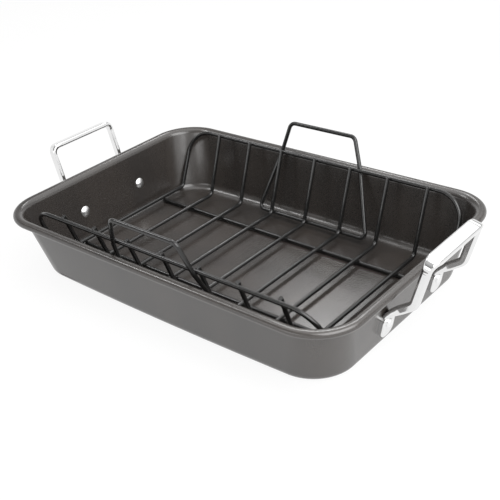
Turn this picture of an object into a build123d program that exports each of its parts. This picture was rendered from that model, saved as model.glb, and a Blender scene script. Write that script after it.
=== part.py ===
from build123d import *
from math import asin, atan2, cos, hypot, radians, sin, sqrt, tan
import os

# Roasting pan with a lift-out wire rack, in millimetres and degrees.
# X runs along the pan, Y across it towards the back, Z up.
# The origin is at the centre of the pan's underside.

# Pan, measured over the rolled rim
pan_length = 400.0
pan_width = 280.0
pan_height = 67.5
sheet = 1.0

# Rim: the sheet rounds outward over a lip and rolls down at its edge
rim_corner_radius = 45.0
lip_radius = 6.6
rim_flat = 1.2
roll_radius = 3.3
roll_end_angle = 42.0

# Walls and floor
end_wall_lean = 10.7
side_wall_lean = 11.8
base_corner_radius = 41.4
base_fillet = 9.0
side_bow = 2.15

# Bail handles: a flattened rod, wider at the grip, with flat paddles on the end walls
rod_width = 8.2
rod_thickness = 5.1
grip_width = 13.0
grip_thickness = 5.3
grip_reach = 22.5
grip_rise = 27.8
grip_corner_radius = 7.5
grip_corner_run = 2.0
grip_taper = 3.5
elbow_reach = 10.8
elbow_drop = 13.8
elbow_radius = 10.0
paddle_width = 18.2
paddle_thickness = 4.8
paddle_edge_radius = 1.0
paddle_above_rivet = 6.4
paddle_below_rivet = 14.3
paddle_top_radius = 5.0
paddle_bottom_radius = 8.0
neck_radius = 8.0
neck_above_rivet = 8.4
neck_into_paddle = 4.5
neck_run = 14.0

# The neck changes from flat to rod: places along it, and how far it has changed there
neck_place_shares = (0.0, 0.25, 0.5, 0.75, 1.0)
neck_change_shares = (0.0, 0.15, 0.5, 0.85, 1.0)
neck_flat_width_share = 0.7

# How much of the section's half thickness its rounded edges take
rod_edge_share = 0.94
grip_edge_share = 0.75

# The rod widens into the grip round the corner: places along it, and how far it has widened there
corner_place_shares = (0.0, 0.11, 0.21, 0.32, 0.43, 0.54, 0.65, 0.76, 0.87, 1.0)
corner_change_shares = (0.0, 0.02, 0.08, 0.19, 0.35, 0.54, 0.73, 0.87, 0.97, 1.0)

# Rivets
rivet_spacing = 82.0
rivet_below_rim = 37.5
rivet_shank_radius = 2.5
inner_head_radius = 5.8
inner_head_height = 2.4
outer_head_radius = 4.2
outer_head_height = 1.7
dimple_radius = 1.5
dimple_depth = 0.5

# Rack: round wire, welded where wires cross
wire = 4.2
weld = 0.25
rib_count = 7
floor_clearance = 0.3
runner_offset = 60.0
runner_end_gap = 0.3
runner_end_radius = 1.6
runner_overhang = 1.0
rail_inset = 21.4
rail_above_rim = 2.0
rack_flare = 26.0
rack_bend_radius = 6.0
rail_corner_radius = 27.0
rib_tip_above_rail = 2.2
rib_margin_left = 44.3
rib_margin_right = 37.2
rack_shift_x = 0.65
rack_shift_y = 2.9

# Lift handles of the rack: trapezoid loops outside the rails, more upright above them.
# Their skew is how far the foot's middle lies to the right of the top's.
lift_handle_rise = 29.6
lift_handle_upper_lean = 14.4
lift_handle_top_width = 79.0
lift_handle_bottom_width = 135.2
lift_handle_corner_radius = 7.0
lift_handle_foot_radius = 5.0
lift_handle_knee_radius = 12.0
back_lift_handle_x = 3.05
back_lift_handle_skew = 6.1
front_lift_handle_x = -0.8
front_lift_handle_skew = 0.0

# Length that a cutting tool runs past what it cuts
overrun = 5.0

# Worked out from the sizes above
end_lean = radians(end_wall_lean)
side_lean = radians(side_wall_lean)
lip_lean = (end_lean + side_lean) / 2
half_length = pan_length / 2
half_width = pan_width / 2
rivet_height = pan_height - rivet_below_rim

# The wall meets the lip at join_height, where its faces lie these distances in from the rim's edge
lip_drop = lip_radius * (1 - sin(lip_lean))
join_height = pan_height - lip_drop
lip_start = roll_radius + rim_flat
join_inner_inset = lip_start + lip_radius * cos(lip_lean)
join_outer_inset = lip_start + sqrt((lip_radius - sheet) ** 2 - (lip_radius - lip_drop) ** 2)

# The outside of the walls, carried down to the underside
base_half_length = half_length - join_outer_inset - join_height * tan(end_lean)
base_half_width = half_width - join_outer_inset - join_height * tan(side_lean)

# The inside of the walls, carried down to the floor, and the flat of the floor inside its fillet
wall_run = join_inner_inset - join_outer_inset
wall_thickness = wall_run * cos(end_lean)
floor_half_length = base_half_length - wall_run + sheet * tan(end_lean)
floor_half_width = base_half_width - wall_run + sheet * tan(side_lean)
floor_fillet = base_fillet - sheet
flat_half_length = floor_half_length - floor_fillet * (1 - sin(end_lean)) / cos(end_lean)

# Rack heights and places
runner_z = sheet + floor_clearance + wire / 2
rib_z = runner_z + wire - weld
rail_y = half_width - rail_inset
rail_z = pan_height + rail_above_rim
bottom_y = rail_y - rack_flare
runner_half_length = flat_half_length - runner_end_gap + runner_end_radius - abs(rack_shift_x)
end_x = runner_half_length - runner_overhang
rib_spacing = (2 * end_x - rib_margin_left - rib_margin_right) / (rib_count - 1)
weld_pitch = wire - weld

# Slopes from vertical, in the YZ plane: the ribs pass inside the rail, the lift handles outside it
rib_to_rail = hypot(rail_y - bottom_y, rail_z - rib_z)
rib_slope = atan2(rail_y - bottom_y, rail_z - rib_z) - asin(weld_pitch / rib_to_rail)
rib_bend_y = bottom_y - rack_bend_radius * (1 - sin(rib_slope)) / cos(rib_slope)
lift_bottom_y = rib_bend_y + sqrt((rack_bend_radius + weld_pitch) ** 2 - rack_bend_radius ** 2)
lift_to_rail = hypot(rail_y - lift_bottom_y, rail_z - rib_z)
lift_slope = atan2(rail_y - lift_bottom_y, rail_z - rib_z) + asin(weld_pitch / lift_to_rail)

# The lift handles' knee lies round the rail, where their lower and upper slopes meet
upper_lean = radians(lift_handle_upper_lean)
knee_angle = (lift_slope + upper_lean) / 2
knee_reach = weld_pitch / cos(lift_slope - knee_angle)
knee_y = rail_y + knee_reach * cos(knee_angle)
knee_z = rail_z - knee_reach * sin(knee_angle)


def arc_point(x, z, radius, angle):
    return Vector(x + radius * cos(angle), 0, z + radius * sin(angle))


def arc(x, z, radius, start, end):
    """Arc in the XZ plane about (x, z), between two angles in radians."""
    middle = (start + end) / 2
    points = [arc_point(x, z, radius, angle) for angle in (start, middle, end)]
    return ThreePointArc(*points)


def outline(half_x, half_y, corner_radius, bow, z):
    """Flat face with rounded corners whose long sides bow outward, drawn quarter by quarter."""
    corner_x = half_x - corner_radius
    corner_y = half_y - corner_radius
    if bow > 0:
        reach = (corner_x ** 2 - bow ** 2) / (2 * bow)
        turn = atan2(reach, corner_x)
    else:
        turn = radians(90)

    def on_corner(angle, sign_x, sign_y):
        x = corner_x + corner_radius * cos(angle)
        y = corner_y + corner_radius * sin(angle)
        return Vector(sign_x * x, sign_y * y, z)

    def corner(sign_x, sign_y):
        angles = (0, turn / 2, turn) if sign_x == sign_y else (turn, turn / 2, 0)
        return ThreePointArc(*[on_corner(angle, sign_x, sign_y) for angle in angles])

    def long_side(sign):
        start = on_corner(turn, sign, sign)
        end = on_corner(turn, -sign, sign)
        if bow > 0:
            return ThreePointArc(start, Vector(0, sign * (half_y + bow), z), end)
        return Line(start, end)

    def short_side(sign):
        return Line(on_corner(0, sign, -sign), on_corner(0, sign, sign))

    edges = [short_side(1), corner(1, 1), long_side(1), corner(-1, 1)]
    edges += [short_side(-1), corner(-1, -1), long_side(-1), corner(1, -1)]
    return make_face(Curve() + edges)


def basin(base, top, fillet_radius):
    """Solid between two outlines, with its bottom edge rounded."""
    solid = loft([base, top], ruled=True)
    bottom = solid.faces().sort_by(Axis.Z)[0]
    return fillet(bottom.edges(), fillet_radius)


def walls_and_floor():
    outer = basin(
        outline(base_half_length, base_half_width, base_corner_radius, side_bow, 0),
        rim_outline(join_outer_inset),
        base_fillet,
    )
    inner = basin(
        outline(floor_half_length, floor_half_width, base_corner_radius - wall_run, side_bow, sheet),
        rim_outline(join_inner_inset),
        floor_fillet,
    )
    return outer - inner


def rim_outline(inset):
    corner_radius = rim_corner_radius - inset
    return outline(half_length - inset, half_width - inset, corner_radius, 0, join_height)


def rim_section(edge_x):
    """Section of lip, flat and roll in the XZ plane, with the rim's edge at edge_x."""
    roll_x = edge_x - roll_radius
    roll_z = pan_height - roll_radius
    lip_x = edge_x - lip_start
    lip_z = pan_height - lip_radius
    roll_end = -radians(roll_end_angle)
    top = radians(90)
    inside = lip_radius - sheet
    inner_join = Vector(edge_x - join_inner_inset, 0, join_height)
    outer_join = Vector(edge_x - join_outer_inset, 0, join_height)
    inner_angle = atan2(join_height - lip_z, inner_join.X - lip_x)
    outer_angle = atan2(join_height - lip_z, outer_join.X - lip_x)
    upper_roll = arc(roll_x, roll_z, roll_radius, roll_end, top)
    upper_lip = arc(lip_x, lip_z, lip_radius, top, inner_angle)
    lower_lip = arc(lip_x, lip_z, inside, outer_angle, top)
    lower_roll = arc(roll_x, roll_z, roll_radius - sheet, top, roll_end)
    edges = [
        upper_roll,
        Line(upper_roll @ 1, upper_lip @ 0),
        upper_lip,
        Line(inner_join, outer_join),
        lower_lip,
        Line(lower_lip @ 1, lower_roll @ 0),
        lower_roll,
        Line(lower_roll @ 1, upper_roll @ 0),
    ]
    return make_face(Curve() + edges)


def rim():
    """Four straight lengths of rim and the four corners between them."""
    straight_x = half_length - rim_corner_radius
    straight_y = half_width - rim_corner_radius
    end_section = rim_section(half_length)
    side_section = Rot(0, 0, 90) * rim_section(half_width)
    end_rim = extrude(Pos(0, -straight_y, 0) * end_section, amount=2 * straight_y, dir=(0, 1, 0))
    side_rim = extrude(Pos(-straight_x, 0, 0) * side_section, amount=2 * straight_x, dir=(1, 0, 0))
    corner_axis = Axis((straight_x, straight_y, 0), (0, 0, 1))
    corner = revolve(Pos(0, straight_y, 0) * end_section, axis=corner_axis, revolution_arc=90)
    quarter = [end_rim, side_rim, corner]
    half_turn = [Rot(0, 0, 180) * piece for piece in quarter]
    return quarter + half_turn + [mirror(corner, Plane.XZ), mirror(corner, Plane.YZ)]


def wall_point(along, out):
    """Point on the right end wall: along its slope from the underside, and out from its face."""
    x = base_half_length + along * sin(end_lean) + out * cos(end_lean)
    z = along * cos(end_lean) - out * sin(end_lean)
    return Vector(x, 0, z)


def rivet_plane(side):
    """Plane on the right end wall's face at a rivet: X up the wall, Z straight out of it."""
    origin = wall_point(rivet_height / cos(end_lean), 0) + Vector(0, side * rivet_spacing / 2, 0)
    return Plane(
        origin=origin,
        x_dir=(sin(end_lean), 0, cos(end_lean)),
        z_dir=(cos(end_lean), 0, -sin(end_lean)),
    )


def rivet_hole(side):
    depth = paddle_thickness + sheet + 2 * overrun
    hole = Cylinder(rivet_shank_radius, depth, align=(Align.CENTER, Align.CENTER, Align.MIN))
    return rivet_plane(side) * Pos(0, 0, -sheet - overrun) * hole


def pan_shell():
    shell = walls_and_floor().fuse(*rim())
    for side in (-1, 1):
        hole = rivet_hole(side)
        shell = shell - hole - mirror(hole, Plane.YZ)
    return shell


def paddle(side):
    height = paddle_above_rivet + paddle_below_rivet
    plate = Box(height, paddle_width, paddle_thickness, align=(Align.MAX, Align.CENTER, Align.MIN))
    corners = plate.edges().filter_by(Axis.Z).sort_by(Axis.X)
    plate = fillet(corners[:2], paddle_bottom_radius)
    corners = plate.edges().filter_by(Axis.Z).sort_by(Axis.X)
    plate = fillet(corners[-2:], paddle_top_radius)
    face = plate.faces().sort_by(Axis.Z)[-1]
    plate = fillet(face.edges(), paddle_edge_radius)
    return rivet_plane(side) * Pos(paddle_above_rivet, 0, 0) * plate


def flattened(width, thickness, edge_share):
    """Rectangle with rounded edges, flat on top and below."""
    return RectangleRounded(width, thickness, edge_share * min(width, thickness) / 2)


def rod_section(place, direction, width, thickness):
    """Section square to a leg that lies in a plane of constant Y: thickness is along Y."""
    plane = Plane(origin=place, x_dir=(0, 1, 0), z_dir=direction)
    return plane * flattened(thickness, width, rod_edge_share)


def leg_corners():
    """Corners of the back leg's line, in the plane Y = 0, and the direction up to the grip."""
    rivet_along = rivet_height / cos(end_lean)
    heel = wall_point(rivet_along + neck_above_rivet, paddle_thickness / 2)
    foot = wall_point(rivet_along + neck_above_rivet - neck_into_paddle, paddle_thickness / 2)
    elbow = Vector(half_length + elbow_reach, 0, pan_height - elbow_drop)
    grip = Vector(half_length + grip_reach, 0, pan_height + grip_rise)
    return foot, heel, elbow, grip, (grip - elbow).normalized()


def neck():
    """Loft from the flat paddle, round the heel, to the rod. It lies in the plane Y = 0."""
    foot, heel, elbow, _, _ = leg_corners()
    end = heel + (elbow - heel).normalized() * neck_run
    path = FilletPolyline(foot, heel, end, radius=neck_radius)
    flat_width = neck_flat_width_share * paddle_width
    sections = []
    for place, change in zip(neck_place_shares, neck_change_shares):
        width = paddle_thickness + change * (rod_width - paddle_thickness)
        thickness = flat_width + change * (rod_thickness - flat_width)
        sections.append(rod_section(path @ place, path % place, width, thickness))
    return loft(sections)


def leg(side):
    """Rod from the neck, round the elbow, to the grip's corner."""
    _, heel, elbow, grip, upward = leg_corners()
    out_y = Vector(0, side * rivet_spacing / 2, 0)
    direction = (elbow - heel).normalized()
    start = heel + direction * neck_run + out_y
    end = grip - upward * (grip_corner_radius + grip_corner_run) + out_y
    path = FilletPolyline(start, elbow + out_y, end, radius=elbow_radius)
    return sweep(rod_section(start, direction, rod_width, rod_thickness), path=path)


def grip_section(place, direction, change):
    """Section square to the grip or its corner, whose width is square to the plane of that bend."""
    upward = leg_corners()[-1]
    width = rod_width + change * (grip_width - rod_width)
    thickness = rod_thickness + change * (grip_thickness - rod_thickness)
    edge_share = rod_edge_share + change * (grip_edge_share - rod_edge_share)
    plane = Plane(origin=place, x_dir=(upward.Z, 0, -upward.X), z_dir=direction)
    return plane * flattened(width, thickness, edge_share)


def grip_corner():
    """Loft at the back end of the grip: from the rod, round the corner, to the wide grip."""
    _, _, _, grip, upward = leg_corners()
    corner = grip + Vector(0, rivet_spacing / 2, 0)
    start = corner - upward * (grip_corner_radius + grip_corner_run)
    end = corner - Vector(0, grip_corner_radius + grip_taper, 0)
    path = FilletPolyline(start, corner, end, radius=grip_corner_radius)
    return loft([
        grip_section(path @ place, path % place, change)
        for place, change in zip(corner_place_shares, corner_change_shares)
    ])


def bail_handle():
    """Right handle in one piece: paddles, necks, legs and grip."""
    grip = leg_corners()[3]
    wide_y = rivet_spacing / 2 - grip_corner_radius - grip_taper
    section = grip_section(Vector(grip.X, -wide_y, grip.Z), (0, 1, 0), 1)
    handle = extrude(section, amount=2 * wide_y, dir=(0, 1, 0))
    corner = grip_corner()
    pieces = [corner, mirror(corner, Plane.XZ)]
    for side in (-1, 1):
        pieces.append(leg(side))
        pieces.append(Pos(0, side * rivet_spacing / 2, 0) * neck())
        pieces.append(paddle(side))
    handle = handle.fuse(*pieces)
    for side in (-1, 1):
        handle = handle - rivet_hole(side) - wall_side(side)
    return handle


def wall_side(side):
    """Block on the pan's side of the wall's face, which keeps the handle's back flat."""
    block = Box(pan_height, rivet_spacing, pan_height, align=(Align.CENTER, Align.CENTER, Align.MAX))
    return rivet_plane(side) * block


def rivet(side):
    """Rivet turned about its axis: domed head inside the pan, dimpled head on the paddle."""
    inner_face = -wall_thickness
    outer_face = paddle_thickness
    outer_top = outer_face + outer_head_height
    dimple_floor = outer_top - dimple_depth
    crown_radius = (outer_head_radius + dimple_radius) / 2
    inner_dome = ThreePointArc(
        (0, inner_face - inner_head_height),
        dome_middle(inner_head_radius, inner_head_height, inner_face),
        (inner_head_radius, inner_face),
    )
    edges = [
        inner_dome,
        Polyline(
            (inner_head_radius, inner_face),
            (rivet_shank_radius, inner_face),
            (rivet_shank_radius, outer_face),
            (outer_head_radius, outer_face),
        ),
        ThreePointArc(
            (outer_head_radius, outer_face),
            (crown_radius, outer_top),
            (dimple_radius, dimple_floor),
        ),
        Polyline((dimple_radius, dimple_floor), (0, dimple_floor), (0, inner_face - inner_head_height)),
    ]
    section = Plane.XZ * make_face(Curve() + edges)
    return rivet_plane(side) * revolve(section, axis=Axis.Z)


def dome_middle(radius, height, base):
    """Point on a dome, half of its height below its crown, for a dome that hangs down from base."""
    ball = (radius ** 2 + height ** 2) / (2 * height)
    drop = height / 2
    return sqrt(ball ** 2 - (ball - drop) ** 2), base - height + drop


def wire_along(points, radii):
    """Round wire along straight runs joined by arcs."""
    path = FilletPolyline(*points, radius=radii)
    start = Plane(origin=path @ 0, z_dir=path % 0)
    return sweep(start * Circle(wire / 2), path=path)


def frame_wire():
    """Closed wire of rails, sloping corners and end runs, made as two halves."""
    points = [
        (0, rail_y, rail_z),
        (end_x, rail_y, rail_z),
        (end_x, bottom_y, rib_z),
        (end_x, -bottom_y, rib_z),
        (end_x, -rail_y, rail_z),
        (0, -rail_y, rail_z),
    ]
    radii = (rail_corner_radius, rack_bend_radius, rack_bend_radius, rail_corner_radius)
    half = wire_along(points, radii)
    return half + mirror(half, Plane.YZ)


def rib():
    """U-shaped cross wire in the plane X = 0, whose tips pass inside the rails."""
    tip_z = rail_z + rib_tip_above_rail
    tip_y = bottom_y + (tip_z - rib_z) * tan(rib_slope)
    points = [(0, tip_y, tip_z), (0, bottom_y, rib_z), (0, -bottom_y, rib_z), (0, -tip_y, tip_z)]
    return wire_along(points, (rack_bend_radius, rack_bend_radius))


def runner(side):
    rod = Cylinder(wire / 2, 2 * runner_half_length)
    rod = fillet(rod.edges().filter_by(GeomType.CIRCLE), runner_end_radius)
    return Pos(0, side * runner_offset, runner_z) * Rot(0, 90, 0) * rod


def lift_handle_half(skew):
    """Right half of a loop at the back rail, leaning outward, with its foot moved along by skew."""
    top_z = rail_z + lift_handle_rise
    top_y = knee_y + (top_z - knee_z) * tan(upper_lean)
    top_x = lift_handle_top_width / 2
    bottom_x = lift_handle_bottom_width / 2 + skew
    knee_x = top_x + (bottom_x - top_x) * (top_z - knee_z) / (top_z - rib_z)
    points = [
        (0, top_y, top_z),
        (top_x, top_y, top_z),
        (knee_x, knee_y, knee_z),
        (bottom_x, lift_bottom_y, rib_z),
        (0, lift_bottom_y, rib_z),
    ]
    radii = (lift_handle_corner_radius, lift_handle_knee_radius, lift_handle_foot_radius)
    return wire_along(points, radii)


def lift_handle(skew):
    """Trapezoid loop at the back rail, made as two halves."""
    return lift_handle_half(skew) + mirror(lift_handle_half(-skew), Plane.YZ)


def build_nodes():
    right_handle = bail_handle()
    back_loop = lift_handle(back_lift_handle_skew)
    front_loop = mirror(lift_handle(front_lift_handle_skew), Plane.XZ)
    nodes = {
        "pan_shell": pan_shell(),
        "handle_right": right_handle,
        "handle_left": mirror(right_handle, Plane.YZ),
        "rack_frame_wire": frame_wire(),
        "rack_lift_handle_back": Pos(back_lift_handle_x, 0, 0) * back_loop,
        "rack_lift_handle_front": Pos(front_lift_handle_x, 0, 0) * front_loop,
    }
    for place, side in (("front", -1), ("back", 1)):
        right_rivet = rivet(side)
        nodes["rivet_right_" + place] = right_rivet
        nodes["rivet_left_" + place] = mirror(right_rivet, Plane.YZ)
        nodes["rack_runner_" + place] = runner(side)
    for number in range(rib_count):
        x = number * rib_spacing + rib_margin_left - end_x
        nodes["rack_rib_%d" % (number + 1)] = Pos(x, 0, 0) * rib()
    for name in nodes:
        if name.startswith("rack"):
            nodes[name] = Pos(rack_shift_x, rack_shift_y, 0) * nodes[name]
    return nodes


os.makedirs("parts", exist_ok=True)
for name, shape in build_nodes().items():
    shape.label = name
    export_step(shape, os.path.join("parts", name + ".step"))
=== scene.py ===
from math import cos, radians, sin

import bmesh
import bpy
from mathutils import Matrix, Vector, noise


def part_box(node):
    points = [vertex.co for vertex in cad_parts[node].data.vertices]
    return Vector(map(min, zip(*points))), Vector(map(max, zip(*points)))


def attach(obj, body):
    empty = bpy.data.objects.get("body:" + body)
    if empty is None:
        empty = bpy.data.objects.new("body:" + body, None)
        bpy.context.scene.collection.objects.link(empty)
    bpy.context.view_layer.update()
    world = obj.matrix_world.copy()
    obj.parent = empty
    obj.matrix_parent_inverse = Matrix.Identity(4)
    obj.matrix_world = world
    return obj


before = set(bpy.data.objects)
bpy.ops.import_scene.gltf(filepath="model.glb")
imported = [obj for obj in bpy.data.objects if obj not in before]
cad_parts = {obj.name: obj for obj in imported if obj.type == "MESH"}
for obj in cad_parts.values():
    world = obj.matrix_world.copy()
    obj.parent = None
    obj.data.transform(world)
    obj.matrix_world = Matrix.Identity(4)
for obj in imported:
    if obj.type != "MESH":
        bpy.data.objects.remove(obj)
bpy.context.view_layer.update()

PAN_NODES = ["pan_shell"]
HANDLE_NODES = ["handle_right", "handle_left"]
RIVET_NODES = ["rivet_right_front", "rivet_right_back", "rivet_left_front", "rivet_left_back"]
RIB_NODES = ["rack_rib_%d" % number for number in range(1, 8)]
RUNNER_NODES = ["rack_runner_front", "rack_runner_back"]
LIFT_NODES = ["rack_lift_handle_front", "rack_lift_handle_back"]
RACK_NODES = ["rack_frame_wire"] + RIB_NODES + RUNNER_NODES + LIFT_NODES

# Camera, as fitted to the photograph: angles in degrees, place in metres, pixels of a 500 px frame
CAMERA_YAW = 43.326
CAMERA_PITCH = 28.999
CAMERA_ROLL = -5.290
CAMERA_PLACE = (0.493990, -0.561497, 0.442759)
CAMERA_FOCAL_PX = 876.067
CAMERA_CENTRE_PX = (215.871, 244.331)
CAMERA_CLIP = (0.05, 50.0)
SENSOR_MM = 36.0
FRAME_PX = 500.0

# Range that most of a noise pattern stays in
NOISE_RANGE = (0.3, 0.7)

# Grey non-stick coating of the pan. Its clouds run up and down the walls.
PAN_IOR = 1.8
PAN_CLOUD_SCALE = (16.0, 16.0, 4.0)
PAN_CLOUD_STOPS = [(0.3, (0.030, 0.0265, 0.0245)), (0.7, (0.048, 0.0405, 0.0355))]
PAN_FLECK_SCALE = 900.0
PAN_FLECK_STOPS = [(0.42, (0.86, 0.86, 0.86)), (0.62, (1.08, 1.08, 1.08))]
PAN_DULLNESS_SCALE = 26.0
PAN_ROUGHNESS = (0.23, 0.26)
PAN_PEEL_SCALE = 420.0
PAN_PEEL_STRENGTH = 0.03
PAN_PEEL_DEPTH = 0.0003

# Gloss black coating of the rack
RACK_IOR = 1.5
RACK_COAT = 0.35
RACK_COAT_ROUGHNESS = 0.08
RACK_SHADE_SCALE = 60.0
RACK_SHADE_STOPS = [(0.3, (0.006, 0.006, 0.006)), (0.75, (0.012, 0.0115, 0.011))]
RACK_DULLNESS_SCALE = 140.0
RACK_ROUGHNESS = (0.16, 0.26)
RACK_PEEL_SCALE = 700.0
RACK_PEEL_STRENGTH = 0.2
RACK_PEEL_DEPTH = 0.0002
RACK_RUN_SCALE = 160.0
RACK_RUN_STRENGTH = 0.25
RACK_RUN_DEPTH = 0.0004

# Bright metal: shade, roughness and scale of its grain
HANDLE_METAL = (0.82, (0.06, 0.1), (60.0, 900.0, 900.0))
RIVET_METAL = (0.92, (0.26, 0.34), (300.0, 300.0, 300.0))
SMUDGE_SCALE = 45.0
SMUDGE_SHARE = 0.94
GRAIN_STRENGTH = 0.08
GRAIN_DEPTH = 0.0002

# Weld beads. The ribs lean by about this angle, in degrees, where they pass the rails.
WIRE = 0.0042
BEAD_RADII = (0.0019, 0.0019, 0.0009)
BEAD_LEAN = 20
BEAD_SUBDIVISIONS = 3
BEAD_UNEVEN_SHARE = 0.14
BEAD_UNEVEN_SCALE = 1.7
BEAD_SEED_STEP = 3.1

# World, by height from 0 straight down to 1 straight up: the light it gives, and what is seen of it
SKY_STOPS = [(0.5, (0.12, 0.12, 0.12)), (0.75, (0.2, 0.2, 0.2)), (0.9, (0.6, 0.6, 0.6))]
BACKDROP_STOPS = [(0.65, (1.0, 1.0, 1.0)), (0.73, (0.2, 0.2, 0.2)), (0.9, (0.6, 0.6, 0.6))]

# Lamps: name, place, what it points at, size and power in watts
LAMPS = [
    ("key", (0.15, 0.5, 1.45), (0, 0, 0.03), (2.2, 2.4), 16.5),
    ("spark_left", (-0.96, -0.16, 1.27), (0, 0, 0.05), (0.3, 0.3), 2.5),
    ("spark_back", (-0.64, 1.02, 1.05), (0, 0, 0.05), (0.25, 0.25), 1.5),
    ("right", (0.85, -0.2, 0.72), (0.35, -0.1, 0), (1.2, 0.9), 13.0),
    ("front", (-0.2, -1.5, 0.5), (0, 0, 0.05), (1.0, 0.5), 2.5),
]

# Floor: mostly plain white where it is seen, so that only a soft shadow shows
FLOOR_HALF = 8.0
FLOOR_COLOUR = (0.8, 0.8, 0.8, 1.0)
FLOOR_WHITE = 1.03
FLOOR_WHITE_SHARE = 0.88


def make_camera():
    yaw, pitch, roll = radians(CAMERA_YAW), radians(CAMERA_PITCH), radians(CAMERA_ROLL)
    back = Vector((sin(yaw) * cos(pitch), -cos(yaw) * cos(pitch), sin(pitch)))
    level_right = Vector((cos(yaw), sin(yaw), 0))
    level_up = back.cross(level_right)
    right = level_right * cos(roll) + level_up * sin(roll)
    up = level_up * cos(roll) - level_right * sin(roll)
    data = bpy.data.cameras.new("camera")
    data.sensor_fit = "HORIZONTAL"
    data.sensor_width = SENSOR_MM
    data.lens = data.sensor_width * CAMERA_FOCAL_PX / FRAME_PX
    data.shift_x = (FRAME_PX / 2 - CAMERA_CENTRE_PX[0]) / FRAME_PX
    data.shift_y = (CAMERA_CENTRE_PX[1] - FRAME_PX / 2) / FRAME_PX
    data.clip_start, data.clip_end = CAMERA_CLIP
    camera = bpy.data.objects.new("camera", data)
    bpy.context.collection.objects.link(camera)
    turn = Matrix((right, up, back)).transposed().to_4x4()
    camera.matrix_world = Matrix.Translation(CAMERA_PLACE) @ turn
    bpy.context.scene.camera = camera


class Nodes:
    """Short calls for building a node tree."""

    def __init__(self, tree):
        self.tree = tree
        tree.nodes.clear()

    def add(self, kind, **settings):
        node = self.tree.nodes.new(kind)
        for key, value in settings.items():
            setattr(node, key, value)
        return node

    def link(self, a, b):
        self.tree.links.new(a, b)

    def coordinates(self):
        return self.add("ShaderNodeTexCoord").outputs["Object"]

    def noise(self, scale, detail=4.0, roughness=0.55, vector=None):
        node = self.add("ShaderNodeTexNoise")
        node.inputs["Scale"].default_value = scale
        node.inputs["Detail"].default_value = detail
        node.inputs["Roughness"].default_value = roughness
        self.link(vector or self.coordinates(), node.inputs["Vector"])
        return node.outputs["Fac"]

    def stretched_noise(self, scale, detail, roughness):
        """Noise with a scale of its own along each axis."""
        node = self.add("ShaderNodeMapping")
        node.inputs["Scale"].default_value = scale
        self.link(self.coordinates(), node.inputs["Vector"])
        return self.noise(1.0, detail, roughness, node.outputs["Vector"])

    def ramp(self, value, stops):
        node = self.add("ShaderNodeValToRGB")
        elements = node.color_ramp.elements
        while len(elements) < len(stops):
            elements.new(0.5)
        for element, (place, colour) in zip(elements, stops):
            element.position = place
            element.color = (*colour, 1.0)
        self.link(value, node.inputs["Fac"])
        return node.outputs["Color"]

    def span(self, value, ends, start=0.0, end=1.0):
        """Carries a value from the range start to end over to the range between two ends."""
        node = self.add("ShaderNodeMapRange")
        node.inputs["From Min"].default_value = start
        node.inputs["From Max"].default_value = end
        node.inputs["To Min"].default_value = ends[0]
        node.inputs["To Max"].default_value = ends[1]
        self.link(value, node.inputs["Value"])
        return node.outputs["Result"]

    def bump(self, height, strength, depth, normal=None):
        node = self.add("ShaderNodeBump")
        node.inputs["Strength"].default_value = strength
        node.inputs["Distance"].default_value = depth
        self.link(height, node.inputs["Height"])
        if normal:
            self.link(normal, node.inputs["Normal"])
        return node.outputs["Normal"]

    def background_rays(self):
        """1 for camera rays and for those that metal and glass send on, 0 for the rest."""
        rays = self.add("ShaderNodeLightPath")
        share = rays.outputs["Is Camera Ray"]
        for kind in ("Is Glossy Ray", "Is Transmission Ray"):
            either = self.add("ShaderNodeMath", operation="MAXIMUM")
            self.link(share, either.inputs[0])
            self.link(rays.outputs[kind], either.inputs[1])
            share = either.outputs["Value"]
        return share


def principled(name, **constants):
    material = bpy.data.materials.new(name)
    material.use_nodes = True
    nodes = Nodes(material.node_tree)
    shader = nodes.add("ShaderNodeBsdfPrincipled")
    output = nodes.add("ShaderNodeOutputMaterial")
    nodes.link(shader.outputs["BSDF"], output.inputs["Surface"])
    for key, value in constants.items():
        shader.inputs[key.replace("_", " ")].default_value = value
    return material, nodes, shader


def pan_material():
    """Grey non-stick coating: a fine speckle, slight cloudiness and an orange-peel surface."""
    material, nodes, shader = principled("pan_coating", IOR=PAN_IOR)
    colour = nodes.ramp(nodes.stretched_noise(PAN_CLOUD_SCALE, 3.0, 0.55), PAN_CLOUD_STOPS)
    fleck = nodes.ramp(nodes.noise(PAN_FLECK_SCALE, 2.0, 0.6), PAN_FLECK_STOPS)
    mix = nodes.add("ShaderNodeMix", data_type="RGBA", blend_type="MULTIPLY")
    mix.inputs["Factor"].default_value = 1.0
    nodes.link(colour, mix.inputs["A"])
    nodes.link(fleck, mix.inputs["B"])
    nodes.link(mix.outputs["Result"], shader.inputs["Base Color"])
    roughness = nodes.span(nodes.noise(PAN_DULLNESS_SCALE, 5.0), PAN_ROUGHNESS, *NOISE_RANGE)
    nodes.link(roughness, shader.inputs["Roughness"])
    peel = nodes.bump(nodes.noise(PAN_PEEL_SCALE, 3.0), PAN_PEEL_STRENGTH, PAN_PEEL_DEPTH)
    nodes.link(peel, shader.inputs["Normal"])
    return material


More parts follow.
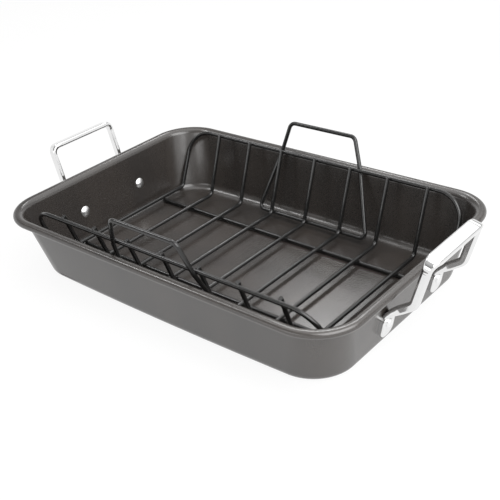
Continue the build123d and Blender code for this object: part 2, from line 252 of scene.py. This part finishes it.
def rack_material():
    """Gloss black coating on wire, a little uneven where it has run and set."""
    coat = {"Coat_Weight": RACK_COAT, "Coat_Roughness": RACK_COAT_ROUGHNESS}
    material, nodes, shader = principled("rack_coating", IOR=RACK_IOR, **coat)
    colour = nodes.ramp(nodes.noise(RACK_SHADE_SCALE), RACK_SHADE_STOPS)
    nodes.link(colour, shader.inputs["Base Color"])
    roughness = nodes.span(nodes.noise(RACK_DULLNESS_SCALE), RACK_ROUGHNESS, *NOISE_RANGE)
    nodes.link(roughness, shader.inputs["Roughness"])
    peel = nodes.bump(nodes.noise(RACK_PEEL_SCALE, 3.0), RACK_PEEL_STRENGTH, RACK_PEEL_DEPTH)
    runs = nodes.bump(nodes.noise(RACK_RUN_SCALE, 2.0), RACK_RUN_STRENGTH, RACK_RUN_DEPTH, peel)
    nodes.link(runs, shader.inputs["Normal"])
    return material


def metal_material(name, shade, roughness, grain):
    """Bright metal with fine polishing lines along its grain and soft smudges."""
    material, nodes, shader = principled(name, Metallic=1.0)
    smudge = nodes.noise(SMUDGE_SCALE)
    low, high = NOISE_RANGE
    dull = SMUDGE_SHARE * shade
    colour = nodes.ramp(smudge, [(low, (dull, dull, dull)), (high, (shade, shade, shade))])
    nodes.link(colour, shader.inputs["Base Color"])
    nodes.link(nodes.span(smudge, roughness, low, high), shader.inputs["Roughness"])
    lines = nodes.bump(nodes.stretched_noise(grain, 6.0, 0.6), GRAIN_STRENGTH, GRAIN_DEPTH)
    nodes.link(lines, shader.inputs["Normal"])
    return material


def dress(names, material):
    for name in names:
        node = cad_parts[name]
        if not node.material_slots:
            node.data.materials.append(material)
        for slot in node.material_slots:
            slot.link = "OBJECT"
            slot.material = material


def add_bead(mesh, centre, turn, seed):
    """Adds a small uneven bead to a mesh."""
    made = bmesh.ops.create_icosphere(mesh, subdivisions=BEAD_SUBDIVISIONS, radius=1.0)
    shift = Vector((seed, 0, 0))
    for vert in made["verts"]:
        uneven = 1 + BEAD_UNEVEN_SHARE * noise.noise(vert.co * BEAD_UNEVEN_SCALE + shift)
        vert.co = turn @ (vert.co * Vector(BEAD_RADII) * uneven) + centre


def middle(name):
    low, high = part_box(name)
    return (Vector(low) + Vector(high)) / 2


def bead_places():
    """Centre and turn of each bead: where the ribs cross the runners, then where they pass the rails."""
    for runner in RUNNER_NODES:
        place = middle(runner)
        for rib in RIB_NODES:
            yield Vector((middle(rib).x, place.y, place.z + WIRE / 2)), Matrix.Identity(3)
    low, high = (Vector(corner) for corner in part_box("rack_frame_wire"))
    lean = radians(BEAD_LEAN)
    for side, rail_y in ((-1, low.y + WIRE / 2), (1, high.y - WIRE / 2)):
        turn = Matrix.Rotation(side * (radians(90) - lean), 3, "X")
        inward = Vector((0, -side * cos(lean), sin(lean))) * WIRE / 2
        for rib in RIB_NODES:
            yield Vector((middle(rib).x, rail_y, high.z - WIRE / 2)) + inward, turn


def weld_beads(material):
    mesh = bmesh.new()
    seed = 0.0
    for centre, turn in bead_places():
        seed += BEAD_SEED_STEP
        add_bead(mesh, centre, turn, seed)
    data = bpy.data.meshes.new("rack_weld_beads")
    mesh.to_mesh(data)
    mesh.free()
    data.polygons.foreach_set("use_smooth", [True] * len(data.polygons))
    data.materials.append(material)
    beads = bpy.data.objects.new("rack_weld_beads", data)
    bpy.context.collection.objects.link(beads)
    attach(beads, "rack")


def lamp(name, place, target, size, power):
    data = bpy.data.lights.new(name, "AREA")
    data.shape = "RECTANGLE"
    data.size, data.size_y = size
    data.energy = power
    light = bpy.data.objects.new(name, data)
    bpy.context.collection.objects.link(light)
    light.location = place
    aim = Vector(target) - Vector(place)
    light.rotation_euler = aim.to_track_quat("-Z", "Y").to_euler()


def studio():
    world = bpy.data.worlds.new("studio")
    bpy.context.scene.world = world
    world.use_nodes = True
    nodes = Nodes(world.node_tree)
    split = nodes.add("ShaderNodeSeparateXYZ")
    nodes.link(nodes.add("ShaderNodeTexCoord").outputs["Generated"], split.inputs[0])
    height = nodes.span(split.outputs["Z"], (0.0, 1.0), -1.0, 1.0)
    background = nodes.add("ShaderNodeBackground")
    mix = nodes.add("ShaderNodeMix", data_type="RGBA")
    nodes.link(nodes.background_rays(), mix.inputs["Factor"])
    nodes.link(nodes.ramp(height, SKY_STOPS), mix.inputs["A"])
    nodes.link(nodes.ramp(height, BACKDROP_STOPS), mix.inputs["B"])
    nodes.link(mix.outputs["Result"], background.inputs["Color"])
    output = nodes.add("ShaderNodeOutputWorld")
    nodes.link(background.outputs["Background"], output.inputs["Surface"])
    for settings in LAMPS:
        lamp(*settings)


def floor():
    data = bpy.data.meshes.new("floor")
    corners = [(x * FLOOR_HALF, y * FLOOR_HALF, 0) for x, y in ((-1, -1), (1, -1), (1, 1), (-1, 1))]
    data.from_pydata(corners, [], [(0, 1, 2, 3)])
    material = bpy.data.materials.new("floor")
    material.use_nodes = True
    nodes = Nodes(material.node_tree)
    paper = nodes.add("ShaderNodeBsdfDiffuse")
    paper.inputs["Color"].default_value = FLOOR_COLOUR
    white = nodes.add("ShaderNodeEmission")
    white.inputs["Strength"].default_value = FLOOR_WHITE
    share = nodes.span(nodes.background_rays(), (0.0, FLOOR_WHITE_SHARE))
    mix = nodes.add("ShaderNodeMixShader")
    nodes.link(share, mix.inputs["Fac"])
    nodes.link(paper.outputs["BSDF"], mix.inputs[1])
    nodes.link(white.outputs["Emission"], mix.inputs[2])
    output = nodes.add("ShaderNodeOutputMaterial")
    nodes.link(mix.outputs["Shader"], output.inputs["Surface"])
    data.materials.append(material)
    ground = bpy.data.objects.new("floor", data)
    bpy.context.collection.objects.link(ground)


make_camera()
coating = rack_material()
dress(PAN_NODES, pan_material())
dress(RACK_NODES, coating)
dress(HANDLE_NODES, metal_material("handle_steel", *HANDLE_METAL))
dress(RIVET_NODES, metal_material("rivet_metal", *RIVET_METAL))
weld_beads(coating)
studio()
floor()

bpy.context.scene.view_settings.view_transform = "Standard"
